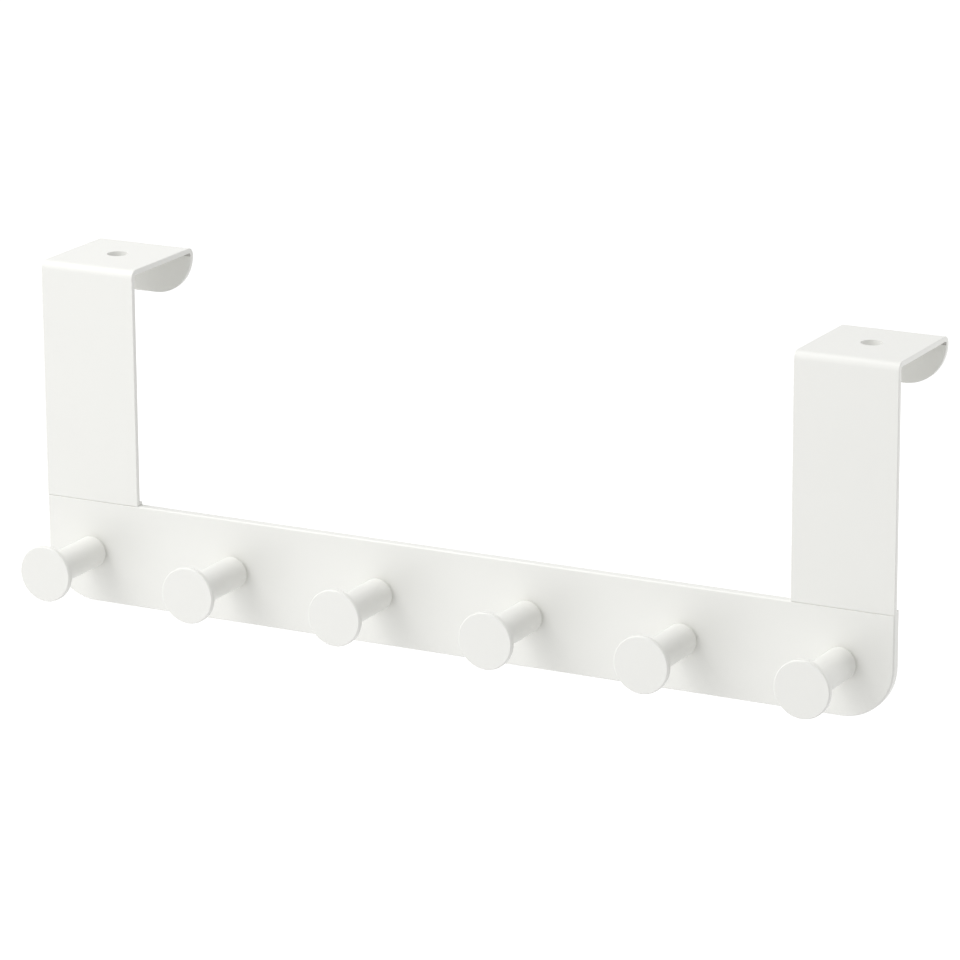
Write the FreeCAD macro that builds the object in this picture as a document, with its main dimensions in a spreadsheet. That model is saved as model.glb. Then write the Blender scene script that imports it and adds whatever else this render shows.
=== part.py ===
import FreeCAD, Part
import os

import Sketcher

# An over-door rack of painted steel: a rail with six pegs, carried by two flat straps
# that rise from its ends, bend over the top of a door and end in a short tab behind it.
#
# Frame, in millimetres: +X to the right of someone who faces the pegs, +Y into the door,
# +Z up. The origin is midway between the two flap holes, on the underside of the flaps,
# which is the plane that rests on the top edge of the door.

# Driving sizes: alias, value in millimetres (the peg count is a number), and meaning.
SIZES = (
    ("rail_length", 350, "rail, end to end"),
    ("rail_height", 40, "rail, top edge to bottom edge"),
    ("rail_sheet", 1.6, "thickness of the rail's sheet, front and rim"),
    ("rail_corner", 20, "radius of the rail's two bottom corners"),
    ("rail_edge", 0.5, "chamfer between the rail's front and its rim"),
    ("strap_width", 40, "width of each strap"),
    ("strap_sheet", 2, "thickness of the straps' sheet"),
    ("strap_edge", 0.2, "chamfer along the straps' edges"),
    ("strap_rise", 89.5, "rail's top edge up to the flap's underside"),
    ("door_slot", 41, "clear width between strap and rear tab"),
    ("bend_inside", 1, "inside radius of the straps' two bends"),
    ("tab_reach", 17, "rear tab, down from the flap's underside"),
    ("tab_corner", 17.7, "radius of the rear tab's lower corners"),
    ("flap_hole", 8, "diameter of the hole in each flap"),
    ("seam_gap", 0.05, "gap between a strap's front and the rail's top edge"),
    ("joggle_lap", 1.2, "joggle's rear shoulder, above the rail's top edge"),
    ("tongue_gap", 0.2, "clearance between tongue and rim, in the rail's plane"),
    ("peg_count", 6, "number of pegs"),
    ("peg_inset", 20, "first and last peg's axis, from the rail's ends"),
    ("peg_reach", 35, "pegs, from the rail's front face to the end of the head"),
    ("shaft_width", 12.2, "diameter of a peg's shaft"),
    ("head_width", 21.5, "diameter of a peg's head"),
    ("head_thick", 2, "thickness of a peg's head"),
    ("head_edge", 0.4, "chamfer round a head's front edge"),
    ("root_edge", 1.5, "chamfer round a shaft's root, at the rail"),
    ("tenon_width", 6, "diameter of a peg's tenon"),
    ("tenon_gap", 0.1, "clearance on diameter between tenon and hole"),
    ("rivet_width", 9, "diameter of a tenon's peened end"),
    ("rivet_height", 1.2, "height of a tenon's peened end"),
)

# Planes and lines that several pieces share, as expressions of the sheet's sizes.
RAIL_DEPTH = "(sizes.rail_sheet + sizes.strap_sheet)"
FRONT = "(-sizes.door_slot / 2 - sizes.strap_sheet)"
RAIL_TOP = "(-sizes.strap_rise)"
RAIL_BOTTOM = "(-sizes.strap_rise - sizes.rail_height)"
PEG_LINE = "(-sizes.strap_rise - sizes.rail_height / 2)"
HALF_LENGTH = "(sizes.rail_length / 2)"
CORNER_X = "(sizes.rail_length / 2 - sizes.rail_corner)"
CORNER_Z = "(-sizes.strap_rise - sizes.rail_height + sizes.rail_corner)"
INSIDE_X = "(sizes.rail_length / 2 - sizes.rail_sheet)"
INSIDE_BOTTOM = "(-sizes.strap_rise - sizes.rail_height + sizes.rail_sheet)"
FIRST_PEG = "(-sizes.rail_length / 2 + sizes.peg_inset)"
PEG_SPAN = "(sizes.rail_length - 2 * sizes.peg_inset)"
STRAP_CENTRE = "(sizes.rail_length / 2 - sizes.strap_width / 2)"
TONGUE_FRONT = f"({FRONT} + sizes.rail_sheet)"
TONGUE_BACK = f"({FRONT} + {RAIL_DEPTH})"
SEAM = f"({RAIL_TOP} + sizes.seam_gap)"
SHOULDER = f"({RAIL_TOP} + sizes.joggle_lap)"

# How far a cutting sketch runs past the steel that it cuts.
OVERRUN = 5

# Two places closer than this are the same.
NEAR = 1e-4

# The share of a straight side that a corner's radius may take up.
FILLET_ROOM = 0.99


def make_sizes(doc):
    """Writes the driving sizes into a spreadsheet, one alias a row."""
    sheet = doc.addObject("Spreadsheet::Sheet", "sizes")
    for row, (alias, value, meaning) in enumerate(SIZES, start=1):
        sheet.set(f"A{row}", meaning)
        sheet.set(f"B{row}", str(value))
        sheet.setAlias(f"B{row}", alias)
    doc.recompute()
    return sheet


def number(doc, expression):
    """The present value of an expression of the sheet's sizes."""
    return float(doc.sizes.evalExpression(expression))


def bind(item, **expressions):
    """Binds properties to expressions; a double underscore in a name stands for a dot."""
    for name, expression in expressions.items():
        item.setExpression(name.replace("__", "."), expression)


def make_body(doc, label):
    """An empty body for one piece."""
    body = doc.addObject("PartDesign::Body", label)
    body.Label = label
    return body


def make_sketch(body, name, role, offset="0"):
    """An empty sketch on one of the body's own planes, moved along its normal."""
    sketch = body.newObject("Sketcher::SketchObject", name)
    plane = next(item for item in body.Origin.OriginFeatures if item.Role == role)
    sketch.AttachmentSupport = (plane, [""])
    sketch.MapMode = "FlatFace"
    bind(sketch, AttachmentOffset__Base__z=offset)
    return sketch


def dimension(doc, sketch, kind, item, point, expression):
    """Holds one coordinate of a point, measured from the sketch's origin."""
    value = number(doc, expression)
    index = sketch.addConstraint(Sketcher.Constraint(kind, -1, 1, item, point, value))
    sketch.setExpression(f"Constraints[{index}]", expression)


def draw_outline(doc, sketch, corners):
    """Closes an outline through corners, each (x, y) or (x, y, bulge) in expressions.

    A bulge of "left" or "right" makes the edge to the next corner a quarter circle that
    turns that way. Corners in line share one dimension and are held in line with it.
    """
    places = [FreeCAD.Vector(number(doc, c[0]), number(doc, c[1]), 0) for c in corners]
    edges = []
    for index, corner in enumerate(corners):
        start = places[index]
        end = places[(index + 1) % len(places)]
        if len(corner) == 2:
            curve = Part.LineSegment(start, end)
        else:
            curve = Part.Arc(start, quarter_middle(start, end, corner[2]), end)
        edges.append(sketch.addGeometry(curve, False))
    ends = [edge_ends(corner) for corner in corners]
    for index, edge in enumerate(edges):
        following = (index + 1) % len(edges)
        sketch.addConstraint(
            Sketcher.Constraint("Coincident", edge, ends[index][1], edges[following], ends[following][0]))
    hold_corners(doc, sketch, corners, edges, ends)
    return edges


def quarter_middle(start, end, bulge):
    """The point halfway along a quarter circle from start to end."""
    chord = end - start
    side = FreeCAD.Vector(chord.y, -chord.x, 0)
    if bulge == "right":
        side = -side
    sagitta = (2 ** 0.5 - 1) / 2
    return (start + end) * 0.5 + side * sagitta


def edge_ends(corner):
    """Which end of the edge after a corner lies at that corner, and which at the next.

    A sketch stores every arc anticlockwise, so one that turns right runs end to start.
    """
    if len(corner) == 3 and corner[2] == "right":
        return 2, 1
    return 1, 2


def hold_corners(doc, sketch, corners, edges, ends):
    """Fixes every corner by dimensions, and each arc by its centre's level."""
    held = {"DistanceX": {}, "DistanceY": {}}
    for index, corner in enumerate(corners):
        for kind, alike, expression in (("DistanceX", "Vertical", corner[0]),
                                        ("DistanceY", "Horizontal", corner[1])):
            first = held[kind].get(expression)
            if first is None:
                dimension(doc, sketch, kind, edges[index], ends[index][0], expression)
                held[kind][expression] = (edges[index], ends[index][0])
            else:
                sketch.addConstraint(
                    Sketcher.Constraint(alike, first[0], first[1], edges[index], ends[index][0]))
        if len(corner) == 3:
            centre = sketch.Geometry[edges[index]].Center
            start = FreeCAD.Vector(number(doc, corner[0]), number(doc, corner[1]), 0)
            level = "Vertical" if abs(centre.x - start.x) < abs(centre.y - start.y) else "Horizontal"
            sketch.addConstraint(
                Sketcher.Constraint(level, edges[index], 3, edges[index], ends[index][0]))


def draw_circle(doc, sketch, x, y, diameter):
    """A circle held by its centre and its diameter."""
    centre = FreeCAD.Vector(number(doc, x), number(doc, y), 0)
    radius = number(doc, diameter) / 2
    circle = sketch.addGeometry(Part.Circle(centre, FreeCAD.Vector(0, 0, 1), radius), False)
    dimension(doc, sketch, "DistanceX", circle, 3, x)
    dimension(doc, sketch, "DistanceY", circle, 3, y)
    index = sketch.addConstraint(Sketcher.Constraint("Diameter", circle, radius * 2))
    sketch.setExpression(f"Constraints[{index}]", diameter)


def extrude(body, kind, name, sketch, length, reverse=False):
    """A pad or pocket of the given length, against the sketch's own direction if reversed."""
    feature = body.newObject(kind, name)
    feature.Profile = sketch
    feature.Reversed = reverse
    bind(feature, Length=length)
    sketch.Visibility = False
    return feature


def dress_edges(doc, body, kind, name, chosen, **size):
    """Fillets or chamfers the edges of the body's last feature for which chosen(edge) holds."""
    doc.recompute()
    base = body.Tip
    names = [f"Edge{i}" for i, edge in enumerate(base.Shape.Edges, start=1) if chosen(edge)]
    feature = body.newObject(kind, name)
    feature.Base = (base, names)
    bind(feature, **size)


def in_plane(edge, axis, place):
    """Whether a whole edge lies in the plane where the axis has that value."""
    low = getattr(edge.BoundBox, axis + "Min")
    high = getattr(edge.BoundBox, axis + "Max")
    return abs(low - place) < NEAR and abs(high - place) < NEAR


def build_rail(doc):
    """The rail: a shallow pressed tray, hollow towards the door, notched for two tongues."""
    body = make_body(doc, "rail")
    outline = make_sketch(body, "rail_outline", "XZ_Plane", f"-{FRONT}")
    draw_outline(doc, outline, (
        (f"-{HALF_LENGTH}", RAIL_TOP),
        (f"-{HALF_LENGTH}", CORNER_Z, "left"),
        (f"-{CORNER_X}", RAIL_BOTTOM),
        (CORNER_X, RAIL_BOTTOM, "left"),
        (HALF_LENGTH, CORNER_Z),
        (HALF_LENGTH, RAIL_TOP),
    ))
    extrude(body, "PartDesign::Pad", "rail_block", outline, RAIL_DEPTH, reverse=True)
    front = number(doc, FRONT)
    dress_edges(doc, body, "PartDesign::Chamfer", "rim_edge_break",
                lambda edge: in_plane(edge, "Y", front),
                Size="sizes.rail_edge")

    hollow = make_sketch(body, "hollow_outline", "XZ_Plane", f"-{TONGUE_BACK}")
    rim_top = f"{RAIL_TOP} - sizes.rail_sheet"
    draw_outline(doc, hollow, (
        (f"-{INSIDE_X}", rim_top),
        (f"-{INSIDE_X}", CORNER_Z, "left"),
        (f"-{CORNER_X}", INSIDE_BOTTOM),
        (CORNER_X, INSIDE_BOTTOM, "left"),
        (INSIDE_X, CORNER_Z),
        (INSIDE_X, rim_top),
    ))
    extrude(body, "PartDesign::Pocket", "hollow", hollow, "sizes.strap_sheet", reverse=True)

    notches = make_sketch(body, "notch_outlines", "XZ_Plane", f"-{TONGUE_BACK}")
    for side in (-1, 1):
        inner = f"{side} * ({HALF_LENGTH} - sizes.strap_width - sizes.tongue_gap)"
        outer = f"{side} * {INSIDE_X}"
        draw_outline(doc, notches, (
            (inner, f"{RAIL_TOP} + {OVERRUN}"),
            (inner, f"{rim_top} - {OVERRUN}"),
            (outer, f"{rim_top} - {OVERRUN}"),
            (outer, f"{RAIL_TOP} + {OVERRUN}"),
        ))
    extrude(body, "PartDesign::Pocket", "notches", notches, "sizes.strap_sheet", reverse=True)

    hole = make_sketch(body, "tenon_hole_outline", "XZ_Plane", f"-{TONGUE_BACK}")
    draw_circle(doc, hole, FIRST_PEG, PEG_LINE, "sizes.tenon_width + sizes.tenon_gap")
    first = extrude(body, "PartDesign::Pocket", "tenon_hole", hole, RAIL_DEPTH, reverse=True)
    row = body.newObject("PartDesign::LinearPattern", "tenon_holes")
    row.Originals = [first]
    across = next(item for item in body.Origin.OriginFeatures if item.Role == "X_Axis")
    row.Direction = (across, [""])
    bind(row, Length=PEG_SPAN, Occurrences="sizes.peg_count")
    body.Tip = row
    return body


def build_strap(doc, label, side):
    """One strap, bent from one strip: tongue, joggle, riser, flap and rear tab."""
    body = make_body(doc, label)
    start = f"{HALF_LENGTH} - sizes.strap_width" if side > 0 else f"-{HALF_LENGTH}"
    draw_bent_strip(doc, body, label, start)
    trim_tongue(doc, body, label, side)
    punch_flap(doc, body, label, side)
    round_tab(doc, body, label)
    break_strap_edges(doc, body, label, start)
    countersink_tongue(doc, body, label, side)
    return body


def draw_bent_strip(doc, body, label, start):
    """The strip's side view, as wide as the strap."""
    profile = make_sketch(body, f"{label}_profile", "YZ_Plane", start)
    slot = "sizes.door_slot / 2"
    rear = f"{slot} + sizes.strap_sheet"
    bend = "sizes.bend_inside"
    outside = "(sizes.bend_inside + sizes.strap_sheet)"
    tongue_end = f"{INSIDE_BOTTOM} + sizes.tongue_gap"
    draw_outline(doc, profile, (
        (FRONT, SEAM),
        (TONGUE_FRONT, SEAM),
        (TONGUE_FRONT, tongue_end),
        (TONGUE_BACK, tongue_end),
        (TONGUE_BACK, SHOULDER),
        (f"-{slot}", SHOULDER),
        (f"-{slot}", f"-{bend}", "right"),
        (f"-{slot} + {bend}", "0"),
        (f"{slot} - {bend}", "0", "right"),
        (slot, f"-{bend}"),
        (slot, "-sizes.tab_reach"),
        (rear, "-sizes.tab_reach"),
        (rear, f"-{bend}", "left"),
        (f"{rear} - {outside}", "sizes.strap_sheet"),
        (f"{FRONT} + {outside}", "sizes.strap_sheet", "left"),
        (FRONT, f"-{bend}"),
    ))
    extrude(body, "PartDesign::Pad", f"{label}_bent_strip", profile, "sizes.strap_width")


def trim_tongue(doc, body, label, side):
    """Cuts the tongue's outer side and corner to clear the inside of the rail's rim."""
    outer = f"{side} * ({INSIDE_X} - sizes.tongue_gap)"
    turn = f"{side} * {CORNER_X}"
    past = f"{side} * ({HALF_LENGTH} + {OVERRUN})"
    tongue_end = f"{INSIDE_BOTTOM} + sizes.tongue_gap"
    below = f"{tongue_end} - {OVERRUN}"
    waste = make_sketch(body, f"{label}_tongue_waste", "XZ_Plane", f"-({TONGUE_BACK} + {OVERRUN})")
    draw_outline(doc, waste, (
        (outer, SEAM),
        (outer, CORNER_Z, "right" if side > 0 else "left"),
        (turn, tongue_end),
        (turn, below),
        (past, below),
        (past, SEAM),
    ))
    extrude(body, "PartDesign::Pocket", f"{label}_tongue_trim", waste,
            f"sizes.strap_sheet + 2 * {OVERRUN}", reverse=True)


def punch_flap(doc, body, label, side):
    """The plain round hole in the middle of the flap."""
    hole = make_sketch(body, f"{label}_hole_outline", "XY_Plane", f"sizes.strap_sheet + {OVERRUN}")
    draw_circle(doc, hole, f"{side} * {STRAP_CENTRE}", "0", "sizes.flap_hole")
    extrude(body, "PartDesign::Pocket", f"{label}_hole", hole, f"sizes.strap_sheet + 2 * {OVERRUN}")


def round_tab(doc, body, label):
    """The large radii at the rear tab's lower corners, as far as the tab has room for them."""
    tab_bottom = -number(doc, "sizes.tab_reach")
    straight_side = "sizes.tab_reach - sizes.bend_inside"
    half_width = "sizes.strap_width / 2"
    room = f"{FILLET_ROOM} * ({straight_side}), {FILLET_ROOM} * {half_width}"
    dress_edges(doc, body, "PartDesign::Fillet", f"{label}_tab_corners",
                lambda edge: in_plane(edge, "Z", tab_bottom) and edge.BoundBox.XLength < NEAR,
                Radius=f"min(sizes.tab_corner, {room})")


def break_strap_edges(doc, body, label, start):
    """Breaks the strap's long edges and the tab's outline, and leaves the seam's edge sharp."""
    low_x = number(doc, start)
    high_x = low_x + number(doc, "sizes.strap_width")
    slot = number(doc, "sizes.door_slot / 2")
    rear = slot + number(doc, "sizes.strap_sheet")
    bend = number(doc, "sizes.bend_inside")
    shoulder = number(doc, SHOULDER)

    def wanted(edge):
        box = edge.BoundBox
        on_side = in_plane(edge, "X", low_x) or in_plane(edge, "X", high_x)
        on_tab = in_plane(edge, "Y", slot) or in_plane(edge, "Y", rear)
        above_joggle = on_side and box.ZMax > shoulder + NEAR
        round_tab_edge = on_tab and box.ZMin < -bend - NEAR
        return above_joggle or round_tab_edge

    dress_edges(doc, body, "PartDesign::Chamfer", f"{label}_edge_break", wanted, Size="sizes.strap_edge")


def countersink_tongue(doc, body, label, side):
    """The hole in the tongue for its peg's tenon, widened behind for the peened end."""
    axis_x = f"{side} * (-{FIRST_PEG})"
    profile = make_sketch(body, f"{label}_tenon_hole_profile", "YZ_Plane", axis_x)
    cone = f"{TONGUE_BACK} - sizes.rivet_height"
    straight = f"{PEG_LINE} + (sizes.tenon_width + sizes.tenon_gap) / 2"
    mouth = f"{PEG_LINE} + (sizes.rivet_width + sizes.tenon_gap) / 2"
    edges = draw_outline(doc, profile, (
        (TONGUE_FRONT, PEG_LINE),
        (TONGUE_BACK, PEG_LINE),
        (TONGUE_BACK, mouth),
        (cone, straight),
        (TONGUE_FRONT, straight),
    ))
    height = number(doc, PEG_LINE)
    axis_start = FreeCAD.Vector(number(doc, TONGUE_FRONT), height, 0)
    axis_end = FreeCAD.Vector(number(doc, TONGUE_BACK), height, 0)
    axis = profile.addGeometry(Part.LineSegment(axis_start, axis_end), True)
    profile.addConstraint(Sketcher.Constraint("Coincident", axis, 1, edges[0], 1))
    profile.addConstraint(Sketcher.Constraint("Coincident", axis, 2, edges[0], 2))
    groove = body.newObject("PartDesign::Groove", f"{label}_tenon_hole")
    groove.Profile = profile
    groove.ReferenceAxis = (profile, ["Axis0"])
    groove.Angle = 360


def build_peg(doc, index, in_tongue):
    """One turned peg: disc head, shaft with a chamfered root, and a tenon peened over behind.

    The end pegs' tenons pass through rail and tongue and are peened flush into a
    countersink. The others pass through the rail's sheet and end in a low button.
    """
    body = make_body(doc, f"peg_{index + 1}")
    profile = make_sketch(body, f"peg_{index + 1}_profile", "YZ_Plane")
    face = "-sizes.peg_reach"
    head_back = f"{face} + sizes.head_thick"
    edge = "sizes.head_edge"
    root = "sizes.root_edge"
    head = "sizes.head_width / 2"
    shaft = "sizes.shaft_width / 2"
    tenon = "sizes.tenon_width / 2"
    rivet = "sizes.rivet_width / 2"
    if in_tongue:
        tenon_end = (
            (RAIL_DEPTH, "0"),
            (RAIL_DEPTH, rivet),
            (f"{RAIL_DEPTH} - sizes.rivet_height", tenon),
        )
    else:
        button = "sizes.rail_sheet + sizes.rivet_height"
        tenon_end = (
            (button, "0"),
            (button, rivet),
            ("sizes.rail_sheet", rivet),
            ("sizes.rail_sheet", tenon),
        )
    draw_outline(doc, profile, (
        (face, "0"),
        *tenon_end,
        ("0", tenon),
        ("0", f"{shaft} - {root}"),
        (f"-{root}", shaft),
        (head_back, shaft),
        (head_back, head),
        (f"{face} + {edge}", head),
        (face, f"{head} - {edge}"),
    ))
    turned = body.newObject("PartDesign::Revolution", f"peg_{index + 1}_turned")
    turned.Profile = profile
    turned.ReferenceAxis = (profile, ["H_Axis"])
    turned.Angle = 360
    bind(body,
         Placement__Base__x=f"{FIRST_PEG} + {index} * {PEG_SPAN} / (sizes.peg_count - 1)",
         Placement__Base__y=FRONT,
         Placement__Base__z=PEG_LINE)
    return body


def check(doc, bodies):
    """Stops unless every feature was built, every cut removes metal and each piece is whole."""
    for item in doc.Objects:
        if "Invalid" in item.State or "Error" in item.State:
            raise RuntimeError(f"{item.Label} failed: {item.State}")
        if item.TypeId in ("PartDesign::Pocket", "PartDesign::Groove"):
            removed = item.BaseFeature.Shape.Volume - item.Shape.Volume
            if removed <= 0:
                raise RuntimeError(f"{item.Label} cuts nothing")
    for body in bodies:
        shape = body.Shape
        if shape.isNull() or not shape.isValid() or len(shape.Solids) != 1:
            raise RuntimeError(f"{body.Label} is not one valid solid")


def main():
    doc = FreeCAD.newDocument("over_door_rack")
    sheet = make_sizes(doc)
    bodies = [
        build_rail(doc),
        build_strap(doc, "left_strap", -1),
        build_strap(doc, "right_strap", 1),
    ]
    last = int(sheet.peg_count) - 1
    for index in range(last + 1):
        bodies.append(build_peg(doc, index, index in (0, last)))
    doc.recompute()
    check(doc, bodies)
    os.makedirs("parts", exist_ok=True)
    for body in bodies:
        body.Shape.exportStep(f"parts/{body.Label}.step")
        box = body.Shape.optimalBoundingBox(False)
        print(f"{body.Label}: {body.Shape.Volume:.1f} mm3, X {box.XMin:.2f} {box.XMax:.2f}, "
              f"Y {box.YMin:.2f} {box.YMax:.2f}, Z {box.ZMin:.2f} {box.ZMax:.2f}")


main()
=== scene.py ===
"""Looks of a white over-door peg rack, laid out as a Blender add-on and run as a script."""

import math

import bpy
from bpy.props import FloatProperty, FloatVectorProperty, PointerProperty
from mathutils import Matrix, Vector


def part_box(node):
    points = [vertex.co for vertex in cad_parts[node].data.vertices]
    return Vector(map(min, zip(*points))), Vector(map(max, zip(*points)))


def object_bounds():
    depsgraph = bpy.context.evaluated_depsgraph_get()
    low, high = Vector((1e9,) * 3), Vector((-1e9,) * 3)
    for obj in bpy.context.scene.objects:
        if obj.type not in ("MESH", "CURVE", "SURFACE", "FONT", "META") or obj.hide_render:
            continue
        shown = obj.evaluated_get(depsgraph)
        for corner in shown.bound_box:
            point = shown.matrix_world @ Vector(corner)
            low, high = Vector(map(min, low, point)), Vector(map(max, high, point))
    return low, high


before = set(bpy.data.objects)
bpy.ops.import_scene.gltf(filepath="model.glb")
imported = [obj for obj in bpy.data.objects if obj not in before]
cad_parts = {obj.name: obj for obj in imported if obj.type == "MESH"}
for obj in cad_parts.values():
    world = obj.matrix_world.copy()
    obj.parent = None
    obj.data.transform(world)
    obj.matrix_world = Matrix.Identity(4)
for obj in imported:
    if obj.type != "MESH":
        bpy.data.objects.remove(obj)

bl_info = {
    "name": "Over-door Peg Rack",
    "version": (1, 0, 0),
    "blender": (4, 5, 0),
    "location": "View3D > Sidebar > Peg Rack",
    "description": "Coats the rack's steel pieces and sets a white product stage around them",
    "category": "Object",
}

CAD_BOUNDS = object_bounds()
MILLIMETRE = 0.001

# The rack's pieces, by how each kind is made.
PRESSED = ["rail"]
BENT = ["left_strap", "right_strap"]
TURNED = sorted(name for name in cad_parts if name.startswith("peg_"))

# Typical index of refraction of a polyester coating.
COATING_IOR = 1.5

# Thickness of the straps' sheet and the inner radius of its bends, in metres.
STRAP_SHEET = 0.002
BEND_INSIDE = 0.001

# The share of its reach over which the painted shade in a bend shows in full.
SOFT_EDGE = 0.3

# Octaves of the two noise patterns: the slow drift is smooth, the swells are finer.
CLOUD_DETAIL = 2.0
PEEL_DETAIL = 3.0

# Half the floor's width, in metres, and the width of the camera's sensor, in millimetres.
FLOOR_HALF = 12.0
SENSOR_WIDTH = 36

# Softboxes: name, the setting that holds the power, the way to the lamp from the rack's middle,
# how far that is, and the lamp's side, both in metres.
SOFTBOXES = (
    ("key_softbox", "key", (-0.45, -0.62, 0.64), 1.8, 1.1),
    ("overhead_softbox", "overhead", (-0.45, -0.16, 0.93), 1.8, 1.1),
    ("fill_softbox", "fill", (-0.35, -0.93, 0.05), 1.8, 1.1),
    ("side_softbox", "side", (0.89, 0.44, 0.1), 0.6, 0.25),
)

# Sockets of the Mix node when it mixes colours; its sockets for numbers bear the same names.
MIX_COLOUR_A = 6
MIX_COLOUR_B = 7
MIX_COLOUR_RESULT = 2


def linear(colour):
    """Linear red, green and blue of an sRGB hex colour such as "F1F0EA"."""
    channels = [int(colour[i:i + 2], 16) / 255 for i in (0, 2, 4)]
    return tuple(c / 12.92 if c <= 0.04045 else ((c + 0.055) / 1.055) ** 2.4 for c in channels)


def add_node(tree, kind, settings=None, **inputs):
    """Adds a node; each input is a value, or an output socket to link from."""
    node = tree.nodes.new(kind)
    for name, value in (settings or {}).items():
        setattr(node, name, value)
    for name, value in inputs.items():
        socket = node.inputs[name.replace("_", " ")]
        if isinstance(value, bpy.types.NodeSocket):
            tree.links.new(value, socket)
        else:
            socket.default_value = value
    return node


class CoatSettings(bpy.types.PropertyGroup):
    """The rack's powder coat."""

    white: FloatVectorProperty(
        name="White",
        description="Colour of the coat where it lies at its full thickness",
        subtype="COLOR", size=3, min=0, max=1, default=linear("F1F1ED"))
    thin_white: FloatVectorProperty(
        name="Thin white",
        description="Colour of the coat where it lies a little thinner on the steel",
        subtype="COLOR", size=3, min=0, max=1, default=linear("EFEFEB"))
    cloud_size: FloatProperty(
        name="Cloud size",
        description="Distance over which the coat's thickness drifts, in millimetres",
        min=5, max=200, default=45)
    peel_size: FloatProperty(
        name="Peel size",
        description="Distance from one swell of the coat's surface to the next, in millimetres",
        min=0.2, max=5, default=1.4)
    peel_height: FloatProperty(
        name="Peel height",
        description="Height of those swells, in millimetres",
        min=0, max=0.05, precision=4, default=0.004)
    roughness: FloatProperty(
        name="Roughness",
        description="Roughness of the coat between its smoothest and its dullest spots",
        subtype="FACTOR", min=0, max=1, default=0.42)
    roughness_drift: FloatProperty(
        name="Roughness drift",
        description="How far the roughness strays to each side",
        subtype="FACTOR", min=0, max=0.3, default=0.04)
    # Painted shade: the bend grey and its reach set a grey line laid deep in each strap's bend,
    # standing for the shade in its crease.
    bend_shade_grey: FloatVectorProperty(
        name="Bend grey",
        description="Colour deep inside a strap's bend, where the coat is thin over the steel",
        subtype="COLOR", size=3, min=0, max=1, default=linear("C0BEBA"))
    bend_shade_reach: FloatProperty(
        name="Bend reach",
        description="How far that grey goes beyond the bend's inner radius, in millimetres",
        min=0, max=1, default=0.12)


class StageSettings(bpy.types.PropertyGroup):
    """The white stage: floor, light and camera."""

    floor_drop: FloatProperty(
        name="Floor drop",
        description="From the rack's lowest edge down to the floor",
        subtype="DISTANCE", unit="LENGTH", min=0, default=0.45)
    floor_colour: FloatVectorProperty(
        name="Floor colour",
        description="Colour of the floor's matt paper",
        subtype="COLOR", size=3, min=0, max=1, default=linear("F4F4F4"))
    floor_lift: FloatProperty(
        name="Floor lift",
        description="Light added to the floor for the camera alone, up to paper white",
        min=0, max=1, default=0.6)
    sky: FloatProperty(
        name="Sky",
        description="Strength of the even light from all round",
        min=0, max=2, default=0.536)
    key: FloatProperty(
        name="Key light",
        description="Power of the large lamp at the upper left, in front",
        subtype="POWER", unit="POWER", min=0, default=6.7)
    overhead: FloatProperty(
        name="Overhead light",
        description="Power of the large lamp above, a little to the left",
        subtype="POWER", unit="POWER", min=0, default=12.2)
    fill: FloatProperty(
        name="Fill light",
        description="Power of the large lamp in front, at the rack's own height",
        subtype="POWER", unit="POWER", min=0, default=5.4)
    side: FloatProperty(
        name="Side light",
        description="Power of the small lamp near the right end, a little behind the rack",
        subtype="POWER", unit="POWER", min=0, default=0.5)
    azimuth: FloatProperty(
        name="Azimuth",
        description="The camera's way round from straight in front, towards the right end",
        subtype="ANGLE", unit="ROTATION", default=math.radians(27.523))
    elevation: FloatProperty(
        name="Elevation",
        description="The camera's angle above the horizon",
        subtype="ANGLE", unit="ROTATION", default=math.radians(15.795))
    roll: FloatProperty(
        name="Roll",
        description="The camera's turn about its own line of sight",
        subtype="ANGLE", unit="ROTATION", default=math.radians(-0.299))
    distance: FloatProperty(
        name="Distance",
        description="From the point that the camera looks at to the camera",
        subtype="DISTANCE", unit="LENGTH", min=0.1, default=1.80125)
    aim: FloatVectorProperty(
        name="Aim",
        description="The point that the camera looks at",
        subtype="XYZ", unit="LENGTH", size=3, default=(0.00677, -0.01384, -0.06333))
    lens: FloatProperty(
        name="Lens",
        description=f"Focal length, for a sensor {SENSOR_WIDTH} mm wide",
        unit="CAMERA", min=10, default=184.62)


def powder_coat(name, coat):
    """Polyester powder coat, sprayed dry and baked: an even white skin with a low, soft sheen.

    Baking leaves swells about a millimetre apart, which make its highlights a little uneven,
    and a film whose thickness drifts slowly, which makes its white a little uneven.
    """
    material = bpy.data.materials.new(name)
    material.use_nodes = True
    tree = material.node_tree
    shader = tree.nodes["Principled BSDF"]
    place = add_node(tree, "ShaderNodeTexCoord").outputs["Object"]

    clouds = add_node(tree, "ShaderNodeTexNoise", Vector=place, Detail=CLOUD_DETAIL,
                      Scale=1 / (coat.cloud_size * MILLIMETRE)).outputs["Fac"]
    colour = add_node(tree, "ShaderNodeMix", {"data_type": "RGBA"}, Factor=clouds)
    colour.inputs[MIX_COLOUR_A].default_value = (*coat.thin_white, 1)
    colour.inputs[MIX_COLOUR_B].default_value = (*coat.white, 1)
    tree.links.new(colour.outputs[MIX_COLOUR_RESULT], shader.inputs["Base Color"])

    swells = add_node(tree, "ShaderNodeTexNoise", Vector=place, Detail=PEEL_DETAIL,
                      Scale=1 / (coat.peel_size * MILLIMETRE)).outputs["Fac"]
    dullness = add_node(tree, "ShaderNodeMapRange", Value=swells,
                        To_Min=coat.roughness - coat.roughness_drift,
                        To_Max=coat.roughness + coat.roughness_drift)
    tree.links.new(dullness.outputs["Result"], shader.inputs["Roughness"])

    bump = add_node(tree, "ShaderNodeBump", Height=swells,
                    Distance=coat.peel_height * MILLIMETRE)
    tree.links.new(bump.outputs["Normal"], shader.inputs["Normal"])
    shader.inputs["IOR"].default_value = COATING_IOR
    return material


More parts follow.
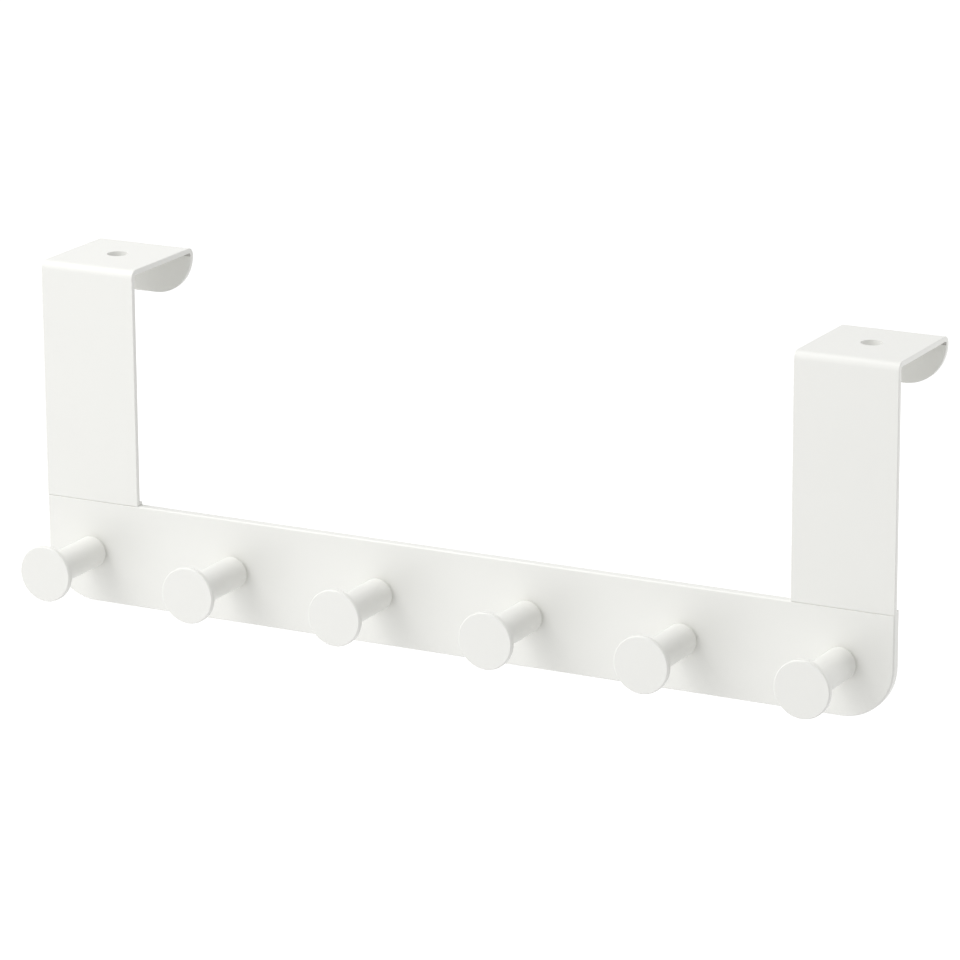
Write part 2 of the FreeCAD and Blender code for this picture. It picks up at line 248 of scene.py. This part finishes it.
def paint_shade_in_bends(material, coat):
    """Paints shade deep inside the straps' two bends.

    A grey line along each bend's inner corner is painted shade. It stands for the shade that
    gathers in the tight crease and draws a short dark line there. The flaps' undersides lie at
    height 0, so each bend's centre is its inner radius below that.
    """
    tree = material.node_tree
    base = tree.nodes["Principled BSDF"].inputs["Base Color"]
    white = base.links[0].from_socket
    rear_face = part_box(BENT[0])[1].y
    centre = (0, rear_face - STRAP_SHEET - BEND_INSIDE, -BEND_INSIDE)
    reach = coat.bend_shade_reach * MILLIMETRE

    place = add_node(tree, "ShaderNodeTexCoord").outputs["Object"]
    parts = add_node(tree, "ShaderNodeSeparateXYZ", Vector=place)
    folded = add_node(tree, "ShaderNodeMath", {"operation": "ABSOLUTE"},
                      Value=parts.outputs["Y"])
    across = add_node(tree, "ShaderNodeCombineXYZ",
                      Y=folded.outputs["Value"], Z=parts.outputs["Z"])
    away = add_node(tree, "ShaderNodeVectorMath", {"operation": "DISTANCE"},
                    Vector=across.outputs["Vector"])
    away.inputs[1].default_value = centre
    # Mask of the painted shade: full near each bend's inner corner, fading out over the rest of
    # its reach.
    shaded = add_node(tree, "ShaderNodeMapRange", Value=away.outputs["Value"],
                    From_Min=BEND_INSIDE + reach, From_Max=BEND_INSIDE + reach * SOFT_EDGE)

    # Painted shade: the bend grey takes the place of the white where the mask is full.
    colour = add_node(tree, "ShaderNodeMix", {"data_type": "RGBA"},
                      Factor=shaded.outputs["Result"])
    tree.links.new(white, colour.inputs[MIX_COLOUR_A])
    colour.inputs[MIX_COLOUR_B].default_value = (*coat.bend_shade_grey, 1)
    tree.links.new(colour.outputs[MIX_COLOUR_RESULT], base)


def coat_pieces(names, material):
    """Gives every named piece the coat, in the material slot that it came with."""
    for name in names:
        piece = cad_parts[name]
        if not piece.material_slots:
            piece.data.materials.append(None)
        for slot in piece.material_slots:
            slot.material = material


class RACK_OT_coat_rail(bpy.types.Operator):
    """Coats the pressed rail"""

    bl_idname = "rack.coat_rail"
    bl_label = "Coat Rail"

    def execute(self, context):
        coat_pieces(PRESSED, powder_coat("powder_coat_on_pressed_steel", context.scene.rack_coat))
        return {"FINISHED"}


class RACK_OT_coat_straps(bpy.types.Operator):
    """Coats the two bent straps and paints shade into their bends"""

    bl_idname = "rack.coat_straps"
    bl_label = "Coat Straps"

    def execute(self, context):
        coat = context.scene.rack_coat
        material = powder_coat("powder_coat_on_bent_strip", coat)
        paint_shade_in_bends(material, coat)
        coat_pieces(BENT, material)
        return {"FINISHED"}


class RACK_OT_coat_pegs(bpy.types.Operator):
    """Coats the turned pegs"""

    bl_idname = "rack.coat_pegs"
    bl_label = "Coat Pegs"

    def execute(self, context):
        coat_pieces(TURNED, powder_coat("powder_coat_on_turned_steel", context.scene.rack_coat))
        return {"FINISHED"}


def seen_directly(tree):
    """1 for rays from the camera, and for those that gloss or glass sends on, otherwise 0."""
    rays = add_node(tree, "ShaderNodeLightPath")
    total = rays.outputs["Is Camera Ray"]
    for name in ("Is Glossy Ray", "Is Transmission Ray"):
        either = add_node(tree, "ShaderNodeMath", {"operation": "MAXIMUM"})
        tree.links.new(total, either.inputs[0])
        tree.links.new(rays.outputs[name], either.inputs[1])
        total = either.outputs[0]
    return total


def set_sky(scene, strength):
    """Even light from all round, behind a background that is seen as white."""
    world = bpy.data.worlds.new("white_sky")
    world.use_nodes = True
    tree = world.node_tree
    tree.nodes.clear()
    light = add_node(tree, "ShaderNodeBackground", Color=(1, 1, 1, 1), Strength=strength)
    white = add_node(tree, "ShaderNodeBackground", Color=(1, 1, 1, 1), Strength=1.0)
    mix = add_node(tree, "ShaderNodeMixShader")
    tree.links.new(seen_directly(tree), mix.inputs[0])
    tree.links.new(light.outputs[0], mix.inputs[1])
    tree.links.new(white.outputs[0], mix.inputs[2])
    add_node(tree, "ShaderNodeOutputWorld", Surface=mix.outputs[0])
    scene.world = world


def lay_floor(scene, settings):
    """A wide sheet of matt white paper under the rack."""
    height = CAD_BOUNDS[0].z - settings.floor_drop
    ways = ((-1, -1), (1, -1), (1, 1), (-1, 1))
    corners = [(x * FLOOR_HALF, y * FLOOR_HALF, height) for x, y in ways]
    mesh = bpy.data.meshes.new("floor")
    mesh.from_pydata(corners, [], [(0, 1, 2, 3)])
    floor = bpy.data.objects.new("floor", mesh)
    scene.collection.objects.link(floor)

    material = bpy.data.materials.new("matt_paper")
    material.use_nodes = True
    tree = material.node_tree
    tree.nodes.clear()
    paper = add_node(tree, "ShaderNodeBsdfDiffuse", Color=(*settings.floor_colour, 1))
    boost = add_node(tree, "ShaderNodeMath", {"operation": "MULTIPLY"})
    tree.links.new(seen_directly(tree), boost.inputs[0])
    boost.inputs[1].default_value = settings.floor_lift
    glow = add_node(tree, "ShaderNodeEmission", Color=(1, 1, 1, 1), Strength=boost.outputs[0])
    both = add_node(tree, "ShaderNodeAddShader")
    tree.links.new(paper.outputs[0], both.inputs[0])
    tree.links.new(glow.outputs[0], both.inputs[1])
    add_node(tree, "ShaderNodeOutputMaterial", Surface=both.outputs[0])
    mesh.materials.append(material)


def hang_lamp(scene, name, direction, distance, side, power):
    """A square softbox that faces the rack's middle."""
    light = bpy.data.lights.new(name, "AREA")
    light.shape = "SQUARE"
    light.size = side
    light.energy = power
    lamp = bpy.data.objects.new(name, light)
    towards = Vector(direction).normalized()
    centre = (CAD_BOUNDS[0] + CAD_BOUNDS[1]) / 2
    lamp.location = centre + towards * distance
    lamp.rotation_mode = "QUATERNION"
    lamp.rotation_quaternion = (-towards).to_track_quat("-Z", "Y")
    scene.collection.objects.link(lamp)


def set_camera(scene, settings):
    """A camera that looks at the aim from the set angles and distance."""
    data = bpy.data.cameras.new("camera")
    data.sensor_width = SENSOR_WIDTH
    data.lens = settings.lens
    camera = bpy.data.objects.new("camera", data)
    round_about = settings.azimuth
    up = settings.elevation
    back = Vector((
        math.sin(round_about) * math.cos(up),
        -math.cos(round_about) * math.cos(up),
        math.sin(up),
    ))
    look = (-back).to_track_quat("-Z", "Y").to_matrix().to_4x4()
    turn = look @ Matrix.Rotation(settings.roll, 4, "Z")
    place = Matrix.Translation(Vector(settings.aim) + back * settings.distance)
    camera.matrix_world = place @ turn
    scene.collection.objects.link(camera)
    scene.camera = camera


class RACK_OT_set_stage(bpy.types.Operator):
    """Lays the floor, sets the light and places the camera"""

    bl_idname = "rack.set_stage"
    bl_label = "Set Stage"

    def execute(self, context):
        scene = context.scene
        settings = scene.rack_stage
        set_sky(scene, settings.sky)
        lay_floor(scene, settings)
        for name, power, direction, distance, side in SOFTBOXES:
            hang_lamp(scene, name, direction, distance, side, getattr(settings, power))
        set_camera(scene, settings)
        scene.view_settings.view_transform = "Standard"
        return {"FINISHED"}


class RACK_PT_panel(bpy.types.Panel):
    """The rack's coat and stage, in the 3D view's sidebar"""

    bl_idname = "RACK_PT_panel"
    bl_label = "Peg Rack"
    bl_space_type = "VIEW_3D"
    bl_region_type = "UI"
    bl_category = "Peg Rack"

    def draw(self, context):
        layout = self.layout
        for operator in OPERATORS:
            layout.operator(operator.bl_idname)
        for settings in (context.scene.rack_coat, context.scene.rack_stage):
            box = layout.box()
            for name in settings.__annotations__:
                box.prop(settings, name)


OPERATORS = (RACK_OT_coat_rail, RACK_OT_coat_straps, RACK_OT_coat_pegs, RACK_OT_set_stage)
CLASSES = (CoatSettings, StageSettings, *OPERATORS, RACK_PT_panel)


def register():
    """Adds the classes and the settings that they keep with the scene."""
    for item in CLASSES:
        bpy.utils.register_class(item)
    bpy.types.Scene.rack_coat = PointerProperty(type=CoatSettings)
    bpy.types.Scene.rack_stage = PointerProperty(type=StageSettings)


def unregister():
    """Takes away what register() added."""
    del bpy.types.Scene.rack_stage
    del bpy.types.Scene.rack_coat
    for item in reversed(CLASSES):
        bpy.utils.unregister_class(item)


def main():
    """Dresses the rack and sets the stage."""
    register()
    bpy.ops.rack.coat_rail()
    bpy.ops.rack.coat_straps()
    bpy.ops.rack.coat_pegs()
    bpy.ops.rack.set_stage()


if __name__ == "__main__":
    main()
